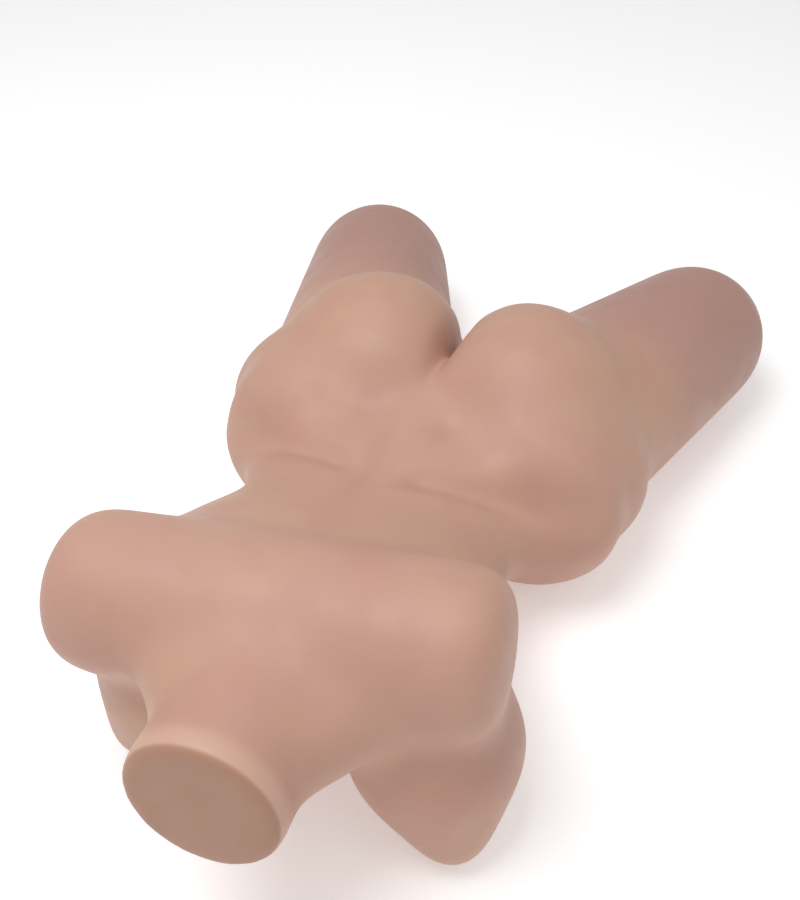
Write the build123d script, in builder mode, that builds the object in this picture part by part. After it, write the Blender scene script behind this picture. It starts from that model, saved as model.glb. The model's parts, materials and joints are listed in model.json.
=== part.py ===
from build123d import *
import os
from math import asin, copysign, cos, radians, sin

os.makedirs("parts", exist_ok=True)

# Soft-body torso mannequin, lying face down. Millimetres.
# +Z is up, the floor is z = 0, -Y points to the neck and +X is the figure's left side.
# The origin is on the floor, under the middle of the bounding box.

# ------------------------------------------------------------ driving dimensions: soft body
# The figure's own frame has y = 0 a little behind the waist; MIDDLE is where its box has its middle.
MIDDLE = (31.15, 42.6)
SKIN = 20.0                     # thickness of the cast elastomer skin
FOAM_FIT = 1.0                  # room between the skin and its foam core
GAP = 1.0                       # room between two bodies where their skins meet on a hinge axis
CHEST_BEND = 0.04               # the trunk's middle line leans to +X by this for each mm from the waist
HIP_BEND = 0.07                 # and by this on the other side of the waist

WAIST_Y = -30.0                 # waist hinge, axis along X
WAIST_Z = 120.0
WAIST_BEND = 12.0               # bends this far each way, degrees
HIP_X = 95.0                    # hip hinges, vertical axes each side of the middle line
HIP_Y = 160.0
HIP_Z = 105.0
HIP_CLOSE = 6.0                 # a thigh swings inwards by this, degrees
HIP_OPEN = 14.0                 # and outwards by this
GROIN_ANGLE = 36.0              # plan angle between the X axis and the plane where a thigh meets the hips
SWING_ROOM = 1.0                # extra wedge angle, degrees

# The trunk's main sections are upright ellipses: y, height of the middle, half width, half height.
NECK_SIDE = (-345, 210, 85, 50)
CHEST = (-220, 190, 160, 74)
WAIST = (WAIST_Y, WAIST_Z, 150, 82)
LOINS = (60, 108, 185, 92)
CROTCH = (200, 100, 85, 55)

SHOULDER = (-8, -240, 219)      # middle of the shoulders
SHOULDER_TURN = 5.0             # plan angle of the shoulder line, left end towards the hips, degrees
SHOULDER_TILT = 5.0             # its left end lies this much higher, degrees
ARM_R = 70.0                    # upper-arm stumps with blunt, rounded ends
ARM_REACH = {"left": 185.0, "right": 195.0}
ARM_ROUND = 30.0
NECK_R = 62.0
NECK_TOP = (0, -410, 222)      # middle of the flat neck face
NECK_ROOT = (0, -300, 205)
BUST_R = 80.0
BUST = (120, -230, 100)
BUST_TIP_R = 35.0
BUST_TIP = (150, -270, 33)
HIP_BULGE_R = 115.0
HIP_BULGE = (120, 95, 110)
SEAT_R = 112.0
SEAT = (82, 150, 150)
THIGH_ROOT_R = 110.0
THIGH_ROOT = (120, 190, 107)
THIGH_TIP_R = 90.0
THIGH_TIP = (205, 415, 87)

# ------------------------------------------------------------ driving dimensions: skeleton
TUBE_R = 12.5                   # 25 mm steel tube
TUBE_WALL = 2.5
TUBE_FIT = 0.1                  # radial room of a tube in its socket
SOCKET_R = 16.0
SOCKET_DEPTH = 28.0
EAR_R = 16.0                    # rounding of clevis ears and tongues
EAR_T = 7.0
TONGUE_T = 12.0
WASHER_T = 1.5
WASHER_R = 14.0
HINGE_FIT = 0.05                # radial room of a hinge bolt, and axial room beside a washer
SLOT_END = 19.0                 # from the hinge axis to the bottom of the clevis slot
BRIDGE_END = 26.0               # from the hinge axis to the start of the tube
HINGE_BOLT_R = 6.0              # M12 bolts
HINGE_HEAD_FLAT = 9.5
HINGE_HEAD_T = 7.5
HINGE_NUT_T = 10.0
CROSS_BOLT_R = 3.0              # M6 bolts through sockets and tubes
CROSS_HEAD_FLAT = 5.0
CROSS_HEAD_T = 4.0
CROSS_NUT_T = 5.0
GUSSET_REACH = 40.0             # from a gusset's middle to the end of each socket
GUSSET_FLOOR = 18.0             # and to the bottom of each socket
GUSSET_BOLT = 29.0              # and to each cross bolt
CHANNEL_R = 23.0                # channels in the foam for tubes, sockets and cross bolts
POCKET_R = 34.0                 # pocket round a hinge
POCKET_HALF = 30.0              # and half its length
DISC_T = 8.0                    # plastic discs that spread the load at the tube ends
NECK_DISC_R = 30.0
ARM_DISC_R = 40.0
THIGH_DISC_R = 44.0
DISC_FIT = 0.5                  # room between a disc and the foam
END_COVER = 34.0                # from the neck face and an arm stump's end to the disc behind it
THIGH_END_COVER = 50.0          # from a thigh's round end to its disc

HINGE_TO_BOLT = BRIDGE_END + SOCKET_DEPTH / 2

SIDES = {"left": 1, "right": -1}
INNER_HALF = TONGUE_T / 2 + WASHER_T + HINGE_FIT
OUTER_HALF = INNER_HALF + EAR_T
X_AXIS = Vector(1, 0, 0)
Z_AXIS = Vector(0, 0, 1)


# ------------------------------------------------------------ places
def place(point, side=1):
    """A point of the symmetric figure, on the chosen side of its bent middle line, in the part's frame."""
    x, y, z = point
    bend = HIP_BEND if y > WAIST_Y else CHEST_BEND
    return Vector(side * x + bend * abs(y - WAIST_Y) - MIDDLE[0], y - MIDDLE[1], z)


def turned(x, y, degrees):
    """A plan direction turned about the vertical."""
    c = cos(radians(degrees))
    s = sin(radians(degrees))
    return Vector(x * c - y * s, x * s + y * c, 0)


waist = place((0, WAIST_Y, WAIST_Z))
shoulder = place(SHOULDER)
neck_top = place(NECK_TOP)
neck_root = place(NECK_ROOT)
pelvis_middle = place((0, HIP_Y, HIP_Z))
hips = {name: place((HIP_X, HIP_Y, HIP_Z), side) for name, side in SIDES.items()}
thigh_roots = {name: place(THIGH_ROOT, side) for name, side in SIDES.items()}
thigh_tips = {name: place(THIGH_TIP, side) for name, side in SIDES.items()}
neck_disc_place = neck_top + (shoulder - neck_top).normalized() * (END_COVER + DISC_T)
shoulder_line = turned(cos(radians(SHOULDER_TILT)), 0, SHOULDER_TURN) + Z_AXIS * sin(radians(SHOULDER_TILT))


# ------------------------------------------------------------ soft body shapes
def halfway(first, second):
    """The trunk section midway between two others."""
    return tuple((a + b) / 2 for a, b in zip(first, second))


def trunk(main_sections, inset):
    """Loft through upright ellipses along the bent middle line; only its far end is drawn in."""
    first, second, third = main_sections
    sections = [first, halfway(first, second), second, halfway(second, third), third]
    last_y, *last_section = sections[-1]
    drawn_in = [*sections[:-1], (last_y - copysign(inset, last_y - WAIST_Y), *last_section)]
    with BuildPart() as shape:
        for y, height, half_width, half_height in drawn_in:
            with BuildSketch(Plane(origin=place((0, y, height)), x_dir=(1, 0, 0), z_dir=(0, -1, 0))):
                Ellipse(half_width - inset, half_height - inset)
        loft()
    return shape.part


def round_cone(start, end, start_r, end_r):
    """Solid of two balls and the cone that touches both, as one revolved profile."""
    axis = end - start
    lean = asin((start_r - end_r) / axis.length)
    touch_start = (start_r * sin(lean), start_r * cos(lean))
    touch_end = (axis.length + end_r * sin(lean), end_r * cos(lean))
    with BuildPart() as shape:
        with BuildSketch(Plane(origin=start, x_dir=axis, z_dir=axis.cross(Z_AXIS))):
            with BuildLine():
                start_arc = ThreePointArc((-start_r, 0), (-start_r * cos(1), start_r * sin(1)), touch_start)
                Line(touch_start, touch_end)
                end_arc = ThreePointArc(
                    touch_end,
                    (axis.length + end_r * cos(0.5), end_r * sin(0.5)),
                    (axis.length + end_r, 0),
                )
                Line(end_arc @ 1, start_arc @ 0)
            make_face()
        revolve(axis=Axis(start, axis))
    return shape.part


def chest_shape(inset):
    """Chest, shoulders, arm stumps, neck and bust, drawn in by inset."""
    with BuildPart() as shape:
        add(trunk((WAIST, CHEST, NECK_SIDE), inset))
        neck_way = (neck_top - neck_root).normalized()
        rod(neck_root, neck_top - neck_way * inset, NECK_R - inset)
        for name, side in SIDES.items():
            add(arm_shape(name, inset))
            bust = place(BUST, side)
            tip = place(BUST_TIP, side)
            add(round_cone(bust, tip, BUST_R - inset, BUST_TIP_R - inset))
    return shape.part


def arm_shape(name, inset):
    """Upper-arm stump with a rounded blunt end."""
    side = SIDES[name]
    with BuildPart() as shape:
        rod(shoulder, shoulder + shoulder_line * side * (ARM_REACH[name] - inset), ARM_R - inset)
        rim = shape.edges().filter_by(GeomType.CIRCLE).sort_by(Axis.X)[-1 if side > 0 else 0]
        fillet(rim, radius=ARM_ROUND)
    return shape.part


def lower_shape(inset):
    """Belly, hips, seat and both thighs, drawn in by inset."""
    with BuildPart() as shape:
        add(trunk((WAIST, LOINS, CROTCH), inset))
        for name, side in SIDES.items():
            add(round_cone(thigh_roots[name], thigh_tips[name], THIGH_ROOT_R - inset, THIGH_TIP_R - inset))
            with Locations(place(HIP_BULGE, side)):
                Sphere(HIP_BULGE_R - inset)
            with Locations(place(SEAT, side)):
                Sphere(SEAT_R - inset)
    return shape.part


# ------------------------------------------------------------ wedges where bodies meet
def waist_planes(towards):
    """The two planes that bound a body at the waist; towards is -1 for the chest, 1 for the pelvis."""
    half_wedge = radians((WAIST_BEND + SWING_ROOM) / 2)
    origin = waist + Vector(0, towards * GAP / 2, 0)
    return [
        Plane(origin=origin, z_dir=(0, towards * cos(half_wedge), tilt * sin(half_wedge)))
        for tilt in (-1, 1)
    ]


def hip_planes(name, towards):
    """The two planes that bound a body at a hip; towards is -1 for the pelvis, 1 for the thigh."""
    side = SIDES[name]
    planes = []
    for arm, swing in ((-1, HIP_OPEN), (1, HIP_CLOSE)):
        half_wedge = (swing + SWING_ROOM) / 2
        normal = turned(sin(radians(GROIN_ANGLE)), cos(radians(GROIN_ANGLE)), arm * half_wedge * -towards)
        normal = Vector(side * normal.X, normal.Y, 0) * towards
        planes.append(Plane(origin=hips[name] + normal * GAP / 2, z_dir=normal))
    return planes


def crotch_plane(name):
    """Bounds a thigh so that it reaches the middle only when it has swung fully inwards."""
    side = SIDES[name]
    hip = hips[name]
    arm = turned(-HIP_X + GAP / 2, 0, -HIP_CLOSE)
    normal = turned(1, 0, -HIP_CLOSE)
    origin = hip + Vector(side * arm.X, arm.Y, 0)
    return Plane(origin=origin, z_dir=(side * normal.X, normal.Y, 0))


def keep_side(planes):
    """Cuts the part being built by each plane and keeps what its normal points to."""
    for plane in planes:
        split(bisect_by=plane, keep=Keep.TOP)


# ------------------------------------------------------------ skeleton shapes
def rod(start, end, radius, mode=Mode.ADD):
    """Round bar from point to point, in the part being built."""
    with BuildSketch(Plane(origin=start, z_dir=end - start)) as profile:
        Circle(radius)
    extrude(profile.sketch, amount=(end - start).length, mode=mode)


def tube(start, end, bolt_places):
    """Steel tube with a hole for each cross bolt."""
    with BuildPart() as piece:
        rod(start, end, TUBE_R)
        rod(start, end, TUBE_R - TUBE_WALL, Mode.SUBTRACT)
        for where, direction in bolt_places:
            bolt_hole(where, direction)
    return piece


def bolt_hole(where, direction):
    """Hole for an M6 cross bolt, centred on the tube's axis."""
    reach = direction * (SOCKET_R + 1)
    rod(where - reach, where + reach, CROSS_BOLT_R + HINGE_FIT, Mode.SUBTRACT)


def socket_bore(start, direction, reach, floor):
    """The bore of that socket, cut after its neighbours are joined."""
    rod(start + direction * floor, start + direction * (reach + 1), TUBE_R + TUBE_FIT, Mode.SUBTRACT)


def cross_bolt(start, direction, reach, across):
    """Where a socket's cross bolt goes: the point on the tube's axis, and a direction square to it."""
    return (start + direction * reach, (across - direction * direction.dot(across)).normalized())


def clevis(hinge, axis, direction, across):
    """Fork with two ears round a hinge axis and a socket for a tube."""
    flat = Plane(origin=hinge, x_dir=direction - axis * direction.dot(axis), z_dir=axis)
    with BuildPart() as piece:
        with BuildSketch(flat.offset(-OUTER_HALF)):
            Circle(EAR_R)
            with Locations((BRIDGE_END / 2, 0)):
                Rectangle(BRIDGE_END, 2 * EAR_R)
        extrude(amount=2 * OUTER_HALF)
        with BuildSketch(flat.offset(-INNER_HALF)):
            with Locations(((SLOT_END - 2 * EAR_R) / 2, 0)):
                Rectangle(SLOT_END + 2 * EAR_R, 3 * EAR_R)
        extrude(amount=2 * INNER_HALF, mode=Mode.SUBTRACT)
        start = hinge + direction * (SLOT_END + 3)
        rod(start, hinge + direction * (BRIDGE_END + SOCKET_DEPTH), SOCKET_R)
        socket_bore(hinge, direction, BRIDGE_END + SOCKET_DEPTH, BRIDGE_END)
        rod(hinge - axis * OUTER_HALF, hinge + axis * OUTER_HALF, HINGE_BOLT_R + HINGE_FIT, Mode.SUBTRACT)
        bolt_hole(*cross_bolt(hinge, direction, HINGE_TO_BOLT, across))
    return piece


def tongue(hinge, axis, direction, across):
    """Single lug that turns between a clevis's ears, with a socket for a tube."""
    flat = Plane(origin=hinge, x_dir=direction - axis * direction.dot(axis), z_dir=axis)
    with BuildPart() as piece:
        with BuildSketch(flat.offset(-TONGUE_T / 2)):
            Circle(EAR_R)
            with Locations((BRIDGE_END / 2, 0)):
                Rectangle(BRIDGE_END, 2 * EAR_R)
        extrude(amount=TONGUE_T)
        start = hinge + direction * (SLOT_END + 3)
        rod(start, hinge + direction * (BRIDGE_END + SOCKET_DEPTH), SOCKET_R)
        socket_bore(hinge, direction, BRIDGE_END + SOCKET_DEPTH, BRIDGE_END)
        rod(hinge - axis * TONGUE_T, hinge + axis * TONGUE_T, HINGE_BOLT_R + HINGE_FIT, Mode.SUBTRACT)
        bolt_hole(*cross_bolt(hinge, direction, HINGE_TO_BOLT, across))
    return piece


def gusset(middle, directions, through, bolt_places):
    """Cross clamp with a socket in each direction; through is a direction whose tube runs right through."""
    with BuildPart() as piece:
        for direction in directions:
            rod(middle, middle + direction * GUSSET_REACH, SOCKET_R)
        for direction in directions:
            socket_bore(middle, direction, GUSSET_REACH, GUSSET_FLOOR)
        if through:
            rod(middle - through * (GUSSET_REACH + 1), middle + through * (GUSSET_REACH + 1),
                TUBE_R + TUBE_FIT, Mode.SUBTRACT)
        for where, direction in bolt_places:
            bolt_hole(where, direction)
    return piece


def hex_plate(start, direction, flat_r, thickness):
    """Hexagonal plate, added to the part being built."""
    with BuildSketch(Plane(origin=start, z_dir=direction)) as profile:
        RegularPolygon(radius=flat_r, side_count=6, major_radius=False)
    extrude(profile.sketch, amount=thickness)


def hinge_bolt(hinge, axis):
    """M12 bolt whose head bears on one ear."""
    with BuildPart() as piece:
        head_face = hinge - axis * OUTER_HALF
        hex_plate(head_face, -axis, HINGE_HEAD_FLAT, HINGE_HEAD_T)
        rod(head_face, hinge + axis * (OUTER_HALF + HINGE_NUT_T + 2), HINGE_BOLT_R)
    return piece


def hinge_nut(hinge, axis):
    """M12 nut that sets the hinge's friction."""
    with BuildPart() as piece:
        start = hinge + axis * OUTER_HALF
        hex_plate(start, axis, HINGE_HEAD_FLAT, HINGE_NUT_T)
        rod(start, start + axis * HINGE_NUT_T, HINGE_BOLT_R + HINGE_FIT, Mode.SUBTRACT)
    return piece


def friction_washers(hinge, axis):
    """Two friction washers, one against the inside of each ear."""
    with BuildPart() as piece:
        for way in (-1, 1):
            outer = hinge + axis * way * INNER_HALF
            inner = hinge + axis * way * (INNER_HALF - WASHER_T)
            rod(outer, inner, WASHER_R)
        rod(hinge - axis * OUTER_HALF, hinge + axis * OUTER_HALF, HINGE_BOLT_R + HINGE_FIT, Mode.SUBTRACT)
    return piece


def cross_bolts(bolt_places):
    """M6 bolts with their nuts, one of each at every place."""
    with BuildPart() as piece:
        for where, direction in bolt_places:
            top = where + direction * SOCKET_R
            bottom = where - direction * SOCKET_R
            hex_plate(top, direction, CROSS_HEAD_FLAT, CROSS_HEAD_T)
            rod(top, bottom - direction * (CROSS_NUT_T + 1), CROSS_BOLT_R)
    with BuildPart() as nuts:
        for where, direction in bolt_places:
            bottom = where - direction * SOCKET_R
            hex_plate(bottom, -direction, CROSS_HEAD_FLAT, CROSS_NUT_T)
            rod(bottom, bottom - direction * CROSS_NUT_T, CROSS_BOLT_R + HINGE_FIT, Mode.SUBTRACT)
    with BuildPart() as group:
        add(piece.part)
        add(nuts.part)
    return group


def disc(start, direction, radius):
    """Round-edged plastic disc that butts against a tube's end."""
    with BuildPart() as piece:
        rod(start, start + direction * DISC_T, radius)
        fillet(piece.edges(), radius=1.5)
    return piece


def save(piece, name):
    """Labels a finished piece and writes its STEP file."""
    piece.part.label = name
    export_step(piece.part, f"parts/{name}.step")


# ------------------------------------------------------------ skeleton of the chest
spine_up = (shoulder - waist).normalized()
post_way = (neck_top - shoulder).normalized()
chest_bolts = [
    cross_bolt(waist, spine_up, HINGE_TO_BOLT, X_AXIS),
    cross_bolt(shoulder, -spine_up, GUSSET_BOLT, X_AXIS),
    cross_bolt(shoulder, post_way, GUSSET_BOLT, X_AXIS),
    cross_bolt(shoulder, shoulder_line, GUSSET_BOLT, Z_AXIS),
    cross_bolt(shoulder, -shoulder_line, GUSSET_BOLT, Z_AXIS),
]
save(clevis(waist, X_AXIS, spine_up, X_AXIS), "waist_clevis")
save(hinge_bolt(waist, X_AXIS), "waist_bolt")
save(hinge_nut(waist, X_AXIS), "waist_nut")
save(friction_washers(waist, X_AXIS), "waist_friction_washers")
save(tube(waist + spine_up * BRIDGE_END, shoulder - spine_up * GUSSET_FLOOR, chest_bolts[:2]),
     "spine_tube_upper")
gusset_ways = (-spine_up, post_way, shoulder_line, -shoulder_line)
save(gusset(shoulder, gusset_ways, shoulder_line, chest_bolts[1:]), "shoulder_gusset")
save(tube(shoulder + post_way * GUSSET_FLOOR, neck_disc_place, chest_bolts[2:3]), "neck_post")
arm_discs = {
    name: shoulder + shoulder_line * SIDES[name] * (reach - END_COVER - DISC_T)
    for name, reach in ARM_REACH.items()
}
save(tube(arm_discs["right"], arm_discs["left"], chest_bolts[3:]), "shoulder_bar")
save(disc(neck_disc_place, post_way, NECK_DISC_R), "neck_end_disc")
for name, side in SIDES.items():
    save(disc(arm_discs[name], shoulder_line * side, ARM_DISC_R), f"arm_end_disc_{name}")
save(cross_bolts(chest_bolts), "chest_tube_bolts")

# ------------------------------------------------------------ skeleton of the pelvis
spine_down = (pelvis_middle - waist).normalized()
bar_bolts = {
    name: cross_bolt(pelvis_middle, X_AXIS * side, GUSSET_BOLT, Z_AXIS)
    for name, side in SIDES.items()
}
hip_bolts = {
    name: cross_bolt(hips[name], X_AXIS * -side, HINGE_TO_BOLT, Z_AXIS)
    for name, side in SIDES.items()
}
pelvis_bolts = [
    cross_bolt(waist, spine_down, HINGE_TO_BOLT, X_AXIS),
    cross_bolt(pelvis_middle, -spine_down, GUSSET_BOLT, X_AXIS),
    *bar_bolts.values(),
    *hip_bolts.values(),
]
save(tongue(waist, X_AXIS, spine_down, X_AXIS), "waist_tongue")
save(tube(waist + spine_down * BRIDGE_END, pelvis_middle - spine_down * GUSSET_FLOOR, pelvis_bolts[:2]),
     "spine_tube_lower")
save(gusset(pelvis_middle, (-spine_down, X_AXIS, -X_AXIS), None, pelvis_bolts[1:4]), "pelvis_gusset")
save(cross_bolts(pelvis_bolts), "pelvis_tube_bolts")
for name, side in SIDES.items():
    hip = hips[name]
    outwards = X_AXIS * side
    save(tube(pelvis_middle + outwards * GUSSET_FLOOR, hip - outwards * BRIDGE_END,
              [bar_bolts[name], hip_bolts[name]]), f"pelvis_bar_{name}")
    save(clevis(hip, Z_AXIS, -outwards, Z_AXIS), f"hip_clevis_{name}")
    save(hinge_bolt(hip, Z_AXIS), f"hip_bolt_{name}")
    save(hinge_nut(hip, Z_AXIS), f"hip_nut_{name}")
    save(friction_washers(hip, Z_AXIS), f"hip_friction_washers_{name}")

# ------------------------------------------------------------ skeleton of the thighs
thigh_ways = {name: (thigh_tips[name] - hips[name]).normalized() for name in SIDES}
thigh_discs = {
    name: thigh_tips[name] + way * (THIGH_TIP_R - THIGH_END_COVER - DISC_T)
    for name, way in thigh_ways.items()
}
for name, side in SIDES.items():
    hip = hips[name]
    way = thigh_ways[name]
    across = way.cross(X_AXIS * side).normalized()
    bolt = cross_bolt(hip, way, HINGE_TO_BOLT, across)
    save(tongue(hip, Z_AXIS, way, across), f"hip_tongue_{name}")
    save(tube(hip + way * BRIDGE_END, thigh_discs[name], [bolt]), f"thigh_tube_{name}")
    save(disc(thigh_discs[name], way, THIGH_DISC_R), f"thigh_end_disc_{name}")
    save(cross_bolts([bolt]), f"thigh_tube_bolt_{name}")


# ------------------------------------------------------------ soft bodies
def hinge_pocket(hinge, axis):
    """Room for a hinge to turn in."""
    rod(hinge - axis * POCKET_HALF, hinge + axis * POCKET_HALF, POCKET_R)


def disc_pocket(start, direction, radius):
    """Room for an end disc."""
    rod(start - direction * DISC_FIT, start + direction * (DISC_T + DISC_FIT), radius + DISC_FIT)


def foam_of(core, cavity, planes):
    """Foam core cut where it meets the next body, with a cavity for the skeleton."""
    with BuildPart() as piece:
        add(core)
        keep_side(planes)
        add(cavity, mode=Mode.SUBTRACT)
    return piece


def skin_of(outer, inner, planes):
    """Hollow skin, flat where it rests on the floor and open where it meets the next body."""
    with BuildPart() as piece:
        add(outer)
        split(bisect_by=Plane.XY, keep=Keep.TOP)
        add(inner, mode=Mode.SUBTRACT)
        keep_side(planes)
    return piece


chest_planes = waist_planes(-1)
save(skin_of(chest_shape(0), chest_shape(SKIN), chest_planes), "chest_skin")
with BuildPart() as chest_cavity:
    hinge_pocket(waist, X_AXIS)
    rod(waist, shoulder, CHANNEL_R)
    rod(shoulder, neck_disc_place, CHANNEL_R)
    disc_pocket(neck_disc_place, post_way, NECK_DISC_R)
    for name, side in SIDES.items():
        rod(shoulder, arm_discs[name], CHANNEL_R)
        disc_pocket(arm_discs[name], shoulder_line * side, ARM_DISC_R)
save(foam_of(chest_shape(SKIN + FOAM_FIT), chest_cavity.part, chest_planes), "chest_foam")

lower_outer = lower_shape(0)
lower_inner = lower_shape(SKIN)
lower_core = lower_shape(SKIN + FOAM_FIT)
pelvis_planes = waist_planes(1) + hip_planes("left", -1) + hip_planes("right", -1)
save(skin_of(lower_outer, lower_inner, pelvis_planes), "pelvis_skin")
with BuildPart() as pelvis_cavity:
    hinge_pocket(waist, X_AXIS)
    rod(waist, pelvis_middle, CHANNEL_R)
    for hip in hips.values():
        rod(pelvis_middle, hip, CHANNEL_R)
        hinge_pocket(hip, Z_AXIS)
save(foam_of(lower_core, pelvis_cavity.part, pelvis_planes), "pelvis_foam")

for name in SIDES:
    thigh_planes = [crotch_plane(name)] + hip_planes(name, 1)
    save(skin_of(lower_outer, lower_inner, thigh_planes), f"thigh_skin_{name}")
    with BuildPart() as thigh_cavity:
        hinge_pocket(hips[name], Z_AXIS)
        rod(hips[name], thigh_discs[name], CHANNEL_R)
        disc_pocket(thigh_discs[name], thigh_ways[name], THIGH_DISC_R)
    save(foam_of(lower_core, thigh_cavity.part, thigh_planes), f"thigh_foam_{name}")
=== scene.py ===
import json
import math

import bmesh
import bpy
import numpy as np
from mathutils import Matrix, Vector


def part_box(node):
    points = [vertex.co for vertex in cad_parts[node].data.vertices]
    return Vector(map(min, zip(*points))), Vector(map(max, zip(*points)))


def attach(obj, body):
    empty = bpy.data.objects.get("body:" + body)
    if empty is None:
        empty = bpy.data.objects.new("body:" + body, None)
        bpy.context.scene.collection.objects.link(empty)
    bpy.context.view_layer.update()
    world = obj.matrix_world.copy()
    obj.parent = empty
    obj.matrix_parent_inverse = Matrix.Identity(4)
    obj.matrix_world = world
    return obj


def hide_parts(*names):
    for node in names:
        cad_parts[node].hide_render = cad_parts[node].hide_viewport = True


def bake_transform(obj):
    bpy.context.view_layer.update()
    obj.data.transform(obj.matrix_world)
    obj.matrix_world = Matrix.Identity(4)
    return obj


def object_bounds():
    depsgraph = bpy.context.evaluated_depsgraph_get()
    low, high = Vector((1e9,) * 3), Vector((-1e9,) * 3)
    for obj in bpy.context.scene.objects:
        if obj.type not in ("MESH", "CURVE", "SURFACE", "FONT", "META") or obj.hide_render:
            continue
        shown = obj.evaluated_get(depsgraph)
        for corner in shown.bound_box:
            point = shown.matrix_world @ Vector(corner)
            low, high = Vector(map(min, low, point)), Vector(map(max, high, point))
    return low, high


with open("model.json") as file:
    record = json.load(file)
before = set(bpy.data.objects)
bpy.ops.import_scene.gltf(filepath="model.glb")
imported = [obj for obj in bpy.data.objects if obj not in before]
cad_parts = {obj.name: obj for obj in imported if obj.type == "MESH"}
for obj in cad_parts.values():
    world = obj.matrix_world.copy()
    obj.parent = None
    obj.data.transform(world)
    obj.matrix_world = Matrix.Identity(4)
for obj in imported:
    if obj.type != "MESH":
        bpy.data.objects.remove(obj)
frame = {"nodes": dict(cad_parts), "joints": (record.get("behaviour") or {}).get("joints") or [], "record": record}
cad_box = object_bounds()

import openvdb
from mathutils import Vector

# Soft-body torso mannequin, lying face down: a cast elastomer skin over foam cores and a jointed steel
# skeleton. Metres, in the CAD frame: +Z up, neck towards -Y, the figure's left side at +X.
# The CAD skins give the body its shape and place. Here they become one smooth, softly creased surface.

# ---------------------------------------------------------------- named values
SIDES = {"left": 1, "right": -1}
SOFT_NODES = {              # each body's CAD skin and foam
    "chest": ("chest_skin", "chest_foam"),
    "pelvis": ("pelvis_skin", "pelvis_foam"),
    "thigh_left": ("thigh_skin_left", "thigh_foam_left"),
    "thigh_right": ("thigh_skin_right", "thigh_foam_right"),
}
SKIN = 0.020                # skin thickness
FOAM_FIT = 0.001            # room between skin and foam
SPACING = 0.0033
BORDER = 0.065              # room round the body in its grid, and how deep distances are known
CLOSING = 0.026             # grooves narrower than twice this are filled
SOFTEN = 0.015              # how widely edges and creases are rounded
SOFTEN_NECK = 0.005         # and at the neck's rim
FLOOR_ROUND = 0.004         # and where the body rests on the floor
CLEFT = 0.034               # depth of the cleft between the buttocks
HOLLOW = 0.010              # and of the wider hollow that it lies in
SPINE = 0.008               # depth of the groove over the spine
DIMPLE = 0.003              # depth of each dimple above the buttocks
FOLD = 0.010                # depth of the fold at the waist
CHANNEL_R = 0.0225          # room in the foam round tubes and sockets
POCKET_R = 0.033            # and round hinges
POCKET_HALF = {"waist": 0.02, "hip": 0.025}     # half the length of those rooms
DISC_ROOM = 0.0015          # and round the end discs
DISC_HALF = 0.004           # half the thickness of an end disc

joints = {joint["name"]: Vector(joint["pos_m"]) for joint in frame["joints"]}
mounts = {mount["name"]: mount for mount in frame["record"]["mounts"]}
waist = joints["waist_bend"]
hips = {name: joints[f"hip_spread_{name}"] for name in SIDES}
hip_middle = (hips["left"] + hips["right"]) / 2
neck = Vector(mounts["neck_face"]["pos_m"])
neck_way = Vector(mounts["neck_face"]["axis"])


def middle_of(node):
    """The middle of a CAD node's box."""
    low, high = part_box(node)
    return (low + high) / 2


shoulder = middle_of("shoulder_gusset")
arm_ends = {name: middle_of(f"arm_end_disc_{name}") for name in SIDES}
thigh_ends = {name: middle_of(f"thigh_end_disc_{name}") for name in SIDES}

# The skins are split at these planes.
WAIST_START = waist + Vector((0, 0.035, 0))
GROIN = math.radians(36)    # how far each thigh's plane turns from square across the body
hip_ways = {name: Vector((side * math.sin(GROIN), math.cos(GROIN), 0)) for name, side in SIDES.items()}
HIP_STARTS = {name: hips[name] + hip_ways[name] * 0.005 for name in SIDES}


# ---------------------------------------------------------------- distances
def blend_max(a, b, width):
    """The greater of two distances, rounded where they meet."""
    overlap = np.maximum(width - np.abs(a - b), 0) / width
    return np.maximum(a, b) + overlap * overlap * width / 4


def step(value, start, end):
    """0 before start, 1 after end, smooth between."""
    t = np.clip((value - start) / (end - start), 0, 1)
    return t * t * (3 - 2 * t)


def hump(value, width):
    """1 at 0, falling away over the width on both sides."""
    return np.exp(-((value / width) ** 2))


def capsule(p, start, end, radius):
    """Distance from a round-ended rod."""
    start = np.array(start)
    axis = np.array(end) - start
    t = np.clip((p - start) @ axis / (axis @ axis), 0, 1)[:, None]
    return np.linalg.norm(p - start - t * axis, axis=1) - radius


def plate(p, middle, way, radius, half):
    """Distance from a round plate whose axis is way."""
    offset = p - np.array(middle)
    along = offset @ np.array(way)
    away = np.sqrt(np.maximum((offset**2).sum(1) - along**2, 0))
    return blend_max(away - radius, np.abs(along) - half, 0.003)


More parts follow.
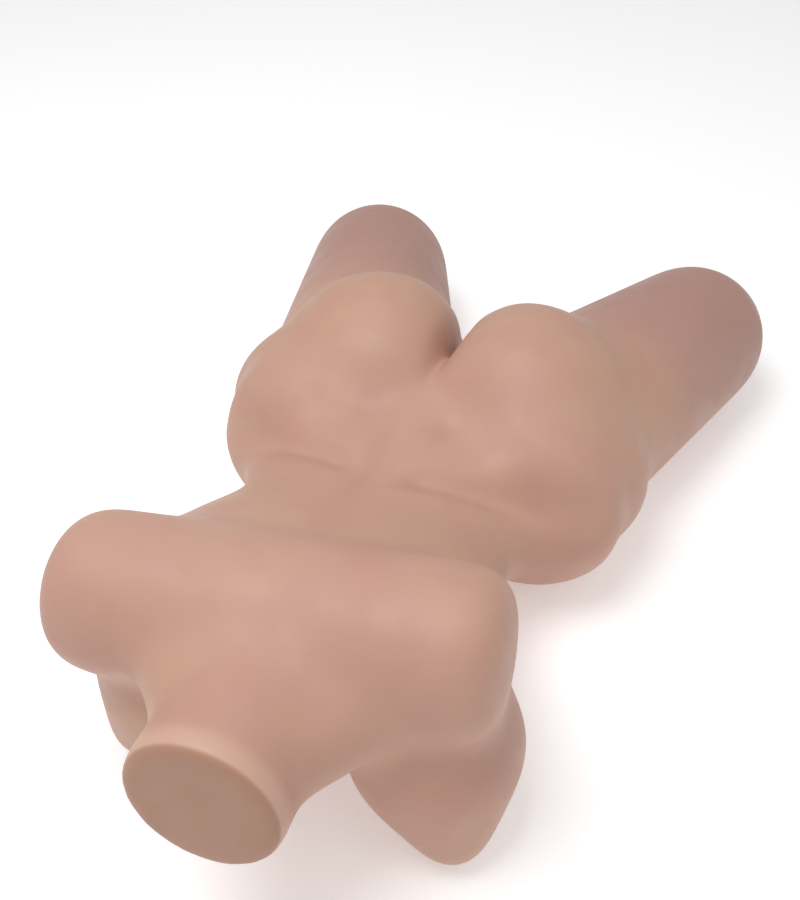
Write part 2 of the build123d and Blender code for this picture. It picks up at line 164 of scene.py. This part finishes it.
class Field:
    """Distances on a regular grid, less than 0 inside."""

    def __init__(self, low, values):
        self.low = low
        self.values = values

    def points(self):
        """Every grid point, as rows."""
        axes = [self.low[i] + SPACING * np.arange(n) for i, n in enumerate(self.values.shape)]
        return np.stack([a.ravel() for a in np.meshgrid(*axes, indexing="ij")], 1)

    def changed_by(self, change):
        """A new field, from a function of the grid's points and this field's values."""
        values = change(self.points(), self.values.ravel())
        return Field(self.low, values.reshape(self.values.shape).astype(np.float32))

    def at(self, points):
        """Distances at any points, from the eight grid values round each."""
        place = (points - self.low) / SPACING
        limit = np.array(self.values.shape) - 2
        cell = np.clip(np.floor(place).astype(int), 0, limit)
        share = np.clip(place - cell, 0, 1)
        total = np.zeros(len(points))
        for corner in np.ndindex(2, 2, 2):
            weight = np.prod(np.where(corner, share, 1 - share), axis=1)
            total += weight * self.values[tuple((cell + corner).T)]
        return total

    def slope(self, points):
        """Which way the distance grows."""
        slope = np.empty_like(points)
        for axis in range(3):
            nudge = np.zeros(3)
            nudge[axis] = SPACING
            slope[:, axis] = self.at(points + nudge) - self.at(points - nudge)
        return slope / (2 * SPACING)

    def surface(self, level):
        """Points and quads where the distance is level."""
        grid = openvdb.FloatGrid(BORDER)
        grid.copyFromArray(self.values)
        points, quads = grid.convertToQuads(isovalue=level)
        return self.low + points.astype(float) * SPACING, quads


def field_round(points, triangles=None, quads=None):
    """Distances from a closed mesh."""
    low = np.array(cad_box[0]) - BORDER
    counts = np.ceil((np.array(cad_box[1]) + BORDER - low) / SPACING).astype(int) + 1
    grid = openvdb.FloatGrid.createLevelSetFromPolygons(
        ((points - low) / SPACING).astype(np.float32),
        triangles=triangles,
        quads=quads,
        halfWidth=BORDER / SPACING,
    )
    values = np.empty(counts, np.float32)
    grid.copyToArray(values)
    return Field(low, values * SPACING)


def triangles_of(nodes):
    """Points and triangles of some CAD nodes."""
    points = []
    triangles = []
    count = 0
    for node in nodes:
        mesh = frame["nodes"][node].data
        mesh.calc_loop_triangles()
        points.append(np.array([v.co for v in mesh.vertices]))
        triangles.append(np.array([t.vertices for t in mesh.loop_triangles]) + count)
        count += len(mesh.vertices)
    return np.concatenate(points), np.concatenate(triangles).astype(np.uint32)


def softened(field, width):
    """The field averaged over its neighbourhood, which rounds edges and creases."""
    reach = int(np.ceil(2.5 * width / SPACING))
    weights = hump(np.arange(-reach, reach + 1) * SPACING, width * math.sqrt(2))
    weights /= weights.sum()
    values = field.values
    for axis in range(3):
        margin = [(0, 0)] * 3
        margin[axis] = (reach, reach)
        padded = np.pad(values, margin, mode="edge")
        length = values.shape[axis]
        values = sum(w * padded.take(range(i, i + length), axis=axis) for i, w in enumerate(weights))
    return Field(field.low, values.astype(np.float32))


# ---------------------------------------------------------------- the body's surface
def middle_x(y):
    """The middle line of the back."""
    line = [neck, shoulder, waist, hip_middle]
    return np.interp(y, [point.y for point in line], [point.x for point in line])


def carved(p, values):
    """Adds the forms that the skins lack: a crisper neck, the spine, waist folds, dimples and the cleft."""
    near_neck = step((p - np.array(neck)) @ np.array(neck_way), -0.055, -0.025)
    values = values + (neck_body.values.ravel() - values) * near_neck
    x = p[:, 0] - middle_x(p[:, 1])
    y = p[:, 1]
    aside = np.abs(x)
    back = step(p[:, 2], waist.z, waist.z + 0.05)
    cleft = CLEFT * hump(x, 0.011) * step(y, hip_middle.y - 0.090, hip_middle.y + 0.020)
    cleft = cleft * step(-y, -hip_middle.y - 0.095, -hip_middle.y - 0.045)
    cleft = cleft + HOLLOW * hump(x, 0.030) * step(y, hip_middle.y - 0.110, hip_middle.y + 0.020)
    spine = SPINE * hump(x, 0.019) * step(y, shoulder.y + 0.05, waist.y - 0.02)
    spine = spine * step(-y, -waist.y - 0.10, -waist.y - 0.03)
    dimples = DIMPLE * hump(np.hypot(aside - 0.042, y - waist.y - 0.070), 0.014)
    reach = step(aside, 0.010, 0.045)
    fold = FOLD * hump(y - waist.y - 0.30 * (aside - 0.06) - 0.004, 0.015) * reach
    values = values + back * (cleft + spine + dimples + fold)
    return blend_max(values, -p[:, 2], FLOOR_ROUND)


skins = [skin for skin, _ in SOFT_NODES.values()]
grown_points, grown_quads = field_round(*triangles_of(skins)).surface(CLOSING)
body = field_round(grown_points, quads=grown_quads)
body = Field(body.low, body.values + CLOSING)
neck_body = softened(body, SOFTEN_NECK)
body = softened(body, SOFTEN).changed_by(carved)


def hollowed(p, values):
    """The foam: inside the skin, with room for the skeleton."""
    room = capsule(p, waist, shoulder, CHANNEL_R)
    room = np.minimum(room, capsule(p, shoulder, middle_of("neck_end_disc"), CHANNEL_R))
    room = np.minimum(room, capsule(p, arm_ends["right"], arm_ends["left"], CHANNEL_R))
    room = np.minimum(room, capsule(p, waist, hip_middle, CHANNEL_R))
    room = np.minimum(room, capsule(p, hips["right"], hips["left"], CHANNEL_R))
    aside = Vector((POCKET_HALF["waist"], 0, 0))
    room = np.minimum(room, capsule(p, waist - aside, waist + aside, POCKET_R))
    up = Vector((0, 0, POCKET_HALF["hip"]))
    discs = {"neck_end_disc": -neck_way}
    across = (arm_ends["left"] - arm_ends["right"]).normalized()
    for name in SIDES:
        discs[f"arm_end_disc_{name}"] = across
        discs[f"thigh_end_disc_{name}"] = (thigh_ends[name] - hips[name]).normalized()
        room = np.minimum(room, capsule(p, hips[name], thigh_ends[name], CHANNEL_R))
        room = np.minimum(room, capsule(p, hips[name] - up, hips[name] + up, POCKET_R))
    for node, way in discs.items():
        low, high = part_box(node)
        disc_r = (high - low)[2] / 2
        room = np.minimum(room, plate(p, (low + high) / 2, way, disc_r + DISC_ROOM, DISC_HALF + DISC_ROOM))
    return np.maximum(values + SKIN + FOAM_FIT, -room)


# ---------------------------------------------------------------- meshes
def keep_body(bm, body_name):
    """Keeps one body's share of a closed surface and returns the planes that it was cut by."""
    waist_cut = (WAIST_START, Vector((0, 1, 0)))
    everything = bm.verts[:] + bm.edges[:] + bm.faces[:]
    at_waist = {"geom": everything, "plane_co": waist_cut[0], "plane_no": waist_cut[1]}
    hip_cuts = {name: (HIP_STARTS[name], hip_ways[name]) for name in SIDES}
    if body_name == "chest":
        bmesh.ops.bisect_plane(bm, clear_outer=True, **at_waist)
        return [waist_cut]
    if body_name == "pelvis":
        bmesh.ops.bisect_plane(bm, clear_inner=True, **at_waist)
        for name in SIDES:
            keep_half(bm, name, False)
        return [waist_cut, *hip_cuts.values()]
    name = body_name.split("_")[1]
    keep_half(bm, name, True)
    return [hip_cuts[name]]


def keep_half(bm, name, thigh):
    """Cuts one side at its hip and keeps the thigh alone, or everything but that thigh."""
    side = SIDES[name]
    near = [f for f in bm.faces if side * (f.calc_center_median().x - hip_middle.x) > -2 * SPACING]
    geom = set(near)
    for face in near:
        geom.update(face.verts)
        geom.update(face.edges)
    bmesh.ops.bisect_plane(bm, geom=list(geom), plane_co=HIP_STARTS[name], plane_no=hip_ways[name])
    doomed = []
    for face in bm.faces:
        middle = face.calc_center_median()
        on_side = side * (middle.x - hip_middle.x) > 0
        past = (middle - HIP_STARTS[name]).dot(hip_ways[name]) > 0
        if (on_side and past) != thigh:
            doomed.append(face)
    bmesh.ops.delete(bm, geom=doomed, context="FACES")


def close_cuts(bm, planes):
    """Fills the rims that each cut left with flat faces.

    At the hips a skin gets a disc across its inside, and the ring round it stays open.
    """
    for origin, normal in planes:
        rim = []
        for edge in bm.edges:
            if edge.is_boundary and all(abs((v.co - origin).dot(normal)) < 1e-4 for v in edge.verts):
                rim.append(edge)
        made = bmesh.ops.triangle_fill(bm, edges=rim, use_beauty=True, normal=normal)["geom"]
        for face in made:
            if isinstance(face, bmesh.types.BMFace):
                face.smooth = False


def body_piece(name, surfaces, body_name, field):
    """One piece: a body's share of the given surfaces."""
    bm = bmesh.new()
    for points, quads in surfaces:
        part = bpy.data.meshes.new("part")
        part.from_pydata(points.tolist(), [], quads.tolist())
        bm.from_mesh(part)
        bpy.data.meshes.remove(part)
    for face in bm.faces:
        face.smooth = True
    planes = keep_body(bm, body_name)
    close_cuts(bm, planes)
    bmesh.ops.recalc_face_normals(bm, faces=bm.faces[:])
    mesh = bpy.data.meshes.new(name)
    bm.to_mesh(mesh)
    bm.free()
    shade_alike(mesh, field)
    piece = bpy.data.objects.new(name, mesh)
    bpy.context.collection.objects.link(piece)
    return piece


def shade_alike(mesh, field):
    """Normals from the field, so that neighbours shade alike across a cut."""
    points = np.empty(len(mesh.vertices) * 3)
    mesh.vertices.foreach_get("co", points)
    slope = field.slope(points.reshape(-1, 3))
    slope /= np.maximum(np.linalg.norm(slope, axis=1), 1e-9)[:, None]
    corners = np.empty(len(mesh.loops), int)
    mesh.loops.foreach_get("vertex_index", corners)
    flat = np.empty(len(mesh.polygons) * 3)
    mesh.polygons.foreach_get("normal", flat)
    counts = np.empty(len(mesh.polygons), int)
    mesh.polygons.foreach_get("loop_total", counts)
    smooth = np.empty(len(mesh.polygons), bool)
    mesh.polygons.foreach_get("use_smooth", smooth)
    flat = np.repeat(flat.reshape(-1, 3), counts, axis=0)
    curved = slope[corners]
    curved *= np.where((curved * flat).sum(1) < 0, -1, 1)[:, None]
    normals = np.where(np.repeat(smooth, counts)[:, None], curved, flat)
    mesh.normals_split_custom_set(normals.tolist())


def fasten(piece, body_name):
    """Attaches a pelvis piece to the pelvis body; a chest or thigh piece only has its place baked into its mesh.
    """
    if body_name == "pelvis":
        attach(piece, "pelvis")
    elif body_name == "chest":
        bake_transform(piece)
    else:
        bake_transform(piece)


# ---------------------------------------------------------------- materials
class Shader:
    """A material's node tree, with short ways to add to it."""

    def __init__(self, name, roughness, metallic=0.0):
        self.material = bpy.data.materials.new(name)
        self.material.use_nodes = True
        self.tree = self.material.node_tree
        self.surface = self.tree.nodes["Principled BSDF"]
        self.surface.inputs["Roughness"].default_value = roughness
        self.surface.inputs["Metallic"].default_value = metallic
        self.place = self.add("ShaderNodeTexCoord").outputs["Object"]

    def add(self, kind, **settings):
        node = self.tree.nodes.new(kind)
        for key, value in settings.items():
            setattr(node, key, value)
        return node

    def set(self, socket, value):
        """A plain number or colour on the shader's own socket."""
        self.surface.inputs[socket].default_value = value

    def feed(self, socket, output):
        self.tree.links.new(output, self.surface.inputs[socket])

    def noise(self, scale, detail=3.0, stretch=(1, 1, 1), shift=(0, 0, 0)):
        """Noise of the given scale per metre, from 0 to 1."""
        mapping = self.add("ShaderNodeMapping")
        mapping.inputs["Scale"].default_value = stretch
        mapping.inputs["Location"].default_value = shift
        node = self.add("ShaderNodeTexNoise")
        node.inputs["Scale"].default_value = scale
        node.inputs["Detail"].default_value = detail
        self.tree.links.new(self.place, mapping.inputs["Vector"])
        self.tree.links.new(mapping.outputs["Vector"], node.inputs["Vector"])
        return node.outputs["Fac"]

    def cells(self, scale, feature="F1"):
        node = self.add("ShaderNodeTexVoronoi", feature=feature)
        node.inputs["Scale"].default_value = scale
        self.tree.links.new(self.place, node.inputs["Vector"])
        return node.outputs["Distance"]

    def spread(self, value, low, high, to_low=0.0, to_high=1.0):
        """Maps low..high of a value to to_low..to_high, smooth and clipped."""
        node = self.add("ShaderNodeMapRange", interpolation_type="SMOOTHSTEP")
        for key, number in (("From Min", low), ("From Max", high), ("To Min", to_low), ("To Max", to_high)):
            node.inputs[key].default_value = number
        self.tree.links.new(value, node.inputs["Value"])
        return node.outputs["Result"]

    def times(self, a, b):
        node = self.add("ShaderNodeMath", operation="MULTIPLY")
        for slot, value in zip(node.inputs, (a, b)):
            if isinstance(value, float):
                slot.default_value = value
            else:
                self.tree.links.new(value, slot)
        return node.outputs[0]

    def mix(self, factor, a, b):
        """Mixes two colours, each an output or a plain colour."""
        node = self.add("ShaderNodeMix", data_type="RGBA")
        for slot, value in zip((node.inputs[0], node.inputs[6], node.inputs[7]), (factor, a, b)):
            if isinstance(value, tuple):
                slot.default_value = (*value, 1)
            else:
                self.tree.links.new(value, slot)
        return node.outputs[2]

    def bump(self, height, distance, strength, below=None):
        node = self.add("ShaderNodeBump")
        node.inputs["Distance"].default_value = distance
        node.inputs["Strength"].default_value = strength
        self.tree.links.new(height, node.inputs["Height"])
        if below:
            self.tree.links.new(below, node.inputs["Normal"])
        self.feed("Normal", node.outputs["Normal"])
        return node.outputs["Normal"]

    def along(self, origin, way):
        """Metres from a plane through origin, along way."""
        offset = self.add("ShaderNodeVectorMath", operation="SUBTRACT")
        offset.inputs[1].default_value = origin
        self.tree.links.new(self.place, offset.inputs[0])
        node = self.add("ShaderNodeVectorMath", operation="DOT_PRODUCT")
        node.inputs[1].default_value = way
        self.tree.links.new(offset.outputs[0], node.inputs[0])
        return node.outputs["Value"]


def skin_material():
    """Cast elastomer: soft pink and tan mottling, a few pale and dark specks, painted light in a paler band round
    the neck's rim, a dry satin surface.
    """
    s = Shader("skin_elastomer", 0.52)
    s.set("Specular IOR Level", 0.32)
    s.set("Sheen Weight", 0.08)
    s.set("Sheen Tint", (1.0, 0.86, 0.78, 1))
    tone = s.mix(s.spread(s.noise(5.0), 0.35, 0.65), (0.560, 0.330, 0.240), (0.545, 0.310, 0.245))
    tone = s.mix(s.spread(s.noise(16.0, shift=(3, 1, 2)), 0.45, 0.75, 0.0, 0.35), tone, (0.500, 0.255, 0.200))
    tone = s.mix(s.spread(s.along(hip_middle, (0, 1, 0)), 0.0, 0.20, 0.0, 0.75), tone, (0.430, 0.245, 0.210))
    pale = s.times(s.spread(s.cells(85.0), 0.05, 0.02), s.spread(s.noise(9.0, shift=(1, 9, 4)), 0.55, 0.7))
    tone = s.mix(s.times(pale, 0.4), tone, (0.70, 0.50, 0.40))
    dark = s.times(s.spread(s.cells(47.0), 0.03, 0.012), s.spread(s.noise(7.0, shift=(8, 3, 1)), 0.6, 0.72))
    tone = s.mix(s.times(dark, 0.35), tone, (0.30, 0.15, 0.11))
    depth = s.along(neck, tuple(neck_way))
    # Painted light: a paler band round the neck's rim stands in for light shining through the thin skin there.
    tone = s.mix(s.times(s.spread(depth, -0.026, -0.012), 0.6), tone, (0.66, 0.42, 0.32))
    tone = s.mix(s.spread(depth, -0.0065, -0.0030), tone, (0.440, 0.240, 0.165))
    s.feed("Base Color", tone)
    s.feed("Roughness", s.spread(s.noise(30.0), 0.3, 0.7, 0.46, 0.60))
    pores = s.bump(s.noise(900.0, 2.0), 0.0002, 0.3)
    s.bump(s.noise(120.0), 0.0004, 0.2, pores)
    return s.material


def foam_material():
    """Open-cell foam."""
    s = Shader("foam_open_cell", 0.95)
    s.feed("Base Color", s.mix(s.spread(s.noise(60.0), 0.3, 0.7), (0.80, 0.76, 0.62), (0.86, 0.83, 0.72)))
    s.bump(s.cells(500.0), 0.0012, 0.8)
    return s.material


def coat_material():
    """Satin black powder coat with its orange-peel texture."""
    s = Shader("powder_coat", 0.42)
    cloud = s.spread(s.noise(40.0), 0.3, 0.7)
    s.feed("Base Color", s.mix(cloud, (0.012, 0.013, 0.014), (0.022, 0.023, 0.025)))
    s.feed("Roughness", s.spread(s.noise(90.0), 0.3, 0.7, 0.36, 0.50))
    s.bump(s.noise(1400.0, 2.0), 0.0002, 0.5)
    return s.material


def steel_material():
    """Machined steel with fine tool marks."""
    s = Shader("machined_steel", 0.32, 1.0)
    s.feed("Base Color", s.mix(s.spread(s.noise(50.0), 0.3, 0.7), (0.50, 0.50, 0.51), (0.60, 0.60, 0.60)))
    s.feed("Roughness", s.spread(s.noise(300.0, stretch=(1, 1, 12)), 0.3, 0.7, 0.24, 0.42))
    s.bump(s.noise(400.0, stretch=(1, 1, 20)), 0.0001, 0.4)
    return s.material


def zinc_material():
    """Bright zinc plate, faintly clouded."""
    s = Shader("zinc_plate", 0.22, 1.0)
    s.feed("Base Color", s.mix(s.spread(s.noise(120.0), 0.35, 0.7), (0.68, 0.70, 0.74), (0.76, 0.75, 0.68)))
    s.feed("Roughness", s.spread(s.noise(200.0), 0.3, 0.7, 0.16, 0.32))
    return s.material


def plastic_material():
    """White polyethylene, a little waxy."""
    s = Shader("white_polyethylene", 0.45)
    s.feed("Base Color", s.mix(s.spread(s.noise(30.0), 0.3, 0.7), (0.78, 0.78, 0.75), (0.84, 0.84, 0.82)))
    s.bump(s.noise(700.0), 0.0001, 0.4)
    return s.material


def laminate_material():
    """Brown friction laminate with its woven fibres."""
    s = Shader("friction_laminate", 0.65)
    fibres = s.spread(s.noise(500.0, stretch=(1, 6, 1)), 0.35, 0.65)
    s.feed("Base Color", s.mix(fibres, (0.16, 0.08, 0.03), (0.24, 0.13, 0.06)))
    s.bump(s.noise(600.0, stretch=(6, 1, 1)), 0.0001, 0.5)
    return s.material


# ---------------------------------------------------------------- pieces
MATERIALS = {
    "soft_skin": skin_material(),
    "core_foam": foam_material(),
    "painted_tube": coat_material(),
    "steel_fitting": steel_material(),
    "zinc_fastener": zinc_material(),
    "end_plastic": plastic_material(),
    "friction_plate": laminate_material(),
}


def make_soft_pieces():
    """The skin and the foam of each body, in place of the plain CAD solids."""
    outside = body.surface(0)
    inside = body.surface(-SKIN)
    foam = body.changed_by(hollowed)
    foam_surface = foam.surface(0)
    for body_name, (skin_node, foam_node) in SOFT_NODES.items():
        skin = body_piece(f"skin_{body_name}", [outside, inside], body_name, body)
        core = body_piece(f"foam_{body_name}", [foam_surface], body_name, foam)
        for piece, node, slot in ((skin, skin_node, "soft_skin"), (core, foam_node, "core_foam")):
            piece.data.materials.append(MATERIALS[slot])
            fasten(piece, body_name)
            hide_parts(node)


def finish_skeleton():
    """Better materials on the CAD nodes that stay."""
    for part in frame["record"]["subparts"]:
        mesh = frame["nodes"][part["node"]].data
        mesh.materials.clear()
        mesh.materials.append(MATERIALS[part["material_slot"]])


# ---------------------------------------------------------------- floor, light and camera
FLOOR_REACH = 6             # half the floor's side
FLOOR_GLOW = 0.30
SKY = 0.42                  # brightness of the even light all round
CAMERA_AZIMUTH = 20.5       # degrees from the neck end towards the figure's left
CAMERA_ELEVATION = 44
CAMERA_AIM = Vector((-0.045, 0.022, -0.024))    # from the middle of the CAD box
CAMERA_DISTANCE = 1.13


def area_light(name, place, size, power):
    """A soft lamp that points at the middle of the figure."""
    lamp = bpy.data.lights.new(name, "AREA")
    lamp.shape = "DISK"
    lamp.size = size
    lamp.energy = power
    holder = bpy.data.objects.new(name, lamp)
    holder.location = place
    holder.rotation_euler = (Vector((0, 0, 0.1)) - Vector(place)).to_track_quat("-Z", "Y").to_euler()
    bpy.context.collection.objects.link(holder)


def make_studio():
    """A plain pale floor under soft light."""
    floor_mesh = bpy.data.meshes.new("studio_floor")
    outline = [(x * FLOOR_REACH, y * FLOOR_REACH, 0) for x, y in ((-1, -1), (1, -1), (1, 1), (-1, 1))]
    floor_mesh.from_pydata(outline, [], [(0, 1, 2, 3)])
    paint = Shader("studio_paper", 0.9)
    paint.feed("Base Color", paint.mix(paint.noise(2.0), (0.93, 0.93, 0.93), (0.95, 0.95, 0.95)))
    paint.set("Emission Color", (1, 1, 1, 1))
    paint.set("Emission Strength", FLOOR_GLOW)
    floor_mesh.materials.append(paint.material)
    floor = bpy.data.objects.new("studio_floor", floor_mesh)
    bpy.context.collection.objects.link(floor)
    world = bpy.data.worlds.new("studio")
    world.use_nodes = True
    background = world.node_tree.nodes["Background"]
    background.inputs["Color"].default_value = (1, 1, 1, 1)
    background.inputs["Strength"].default_value = SKY
    bpy.context.scene.world = world
    area_light("key", (-0.45, -0.45, 2.2), 1.2, 27)
    area_light("fill", (0.9, -0.5, 2.0), 1.4, 4)
    bpy.context.scene.view_settings.view_transform = "Standard"


def make_camera():
    """Looks down on the neck end from the figure's left."""
    azimuth = math.radians(CAMERA_AZIMUTH)
    elevation = math.radians(CAMERA_ELEVATION)
    target = (Vector(cad_box[0]) + Vector(cad_box[1])) / 2 + CAMERA_AIM
    away = Vector((math.sin(azimuth), -math.cos(azimuth), 0)) * math.cos(elevation)
    away.z = math.sin(elevation)
    camera = bpy.data.cameras.new("camera")
    camera.lens = 43
    camera.sensor_width = 36
    holder = bpy.data.objects.new("camera", camera)
    holder.location = target + away * CAMERA_DISTANCE
    holder.rotation_euler = (-away).to_track_quat("-Z", "Y").to_euler()
    bpy.context.collection.objects.link(holder)
    bpy.context.scene.camera = holder


make_camera()
make_studio()
finish_skeleton()
make_soft_pieces()
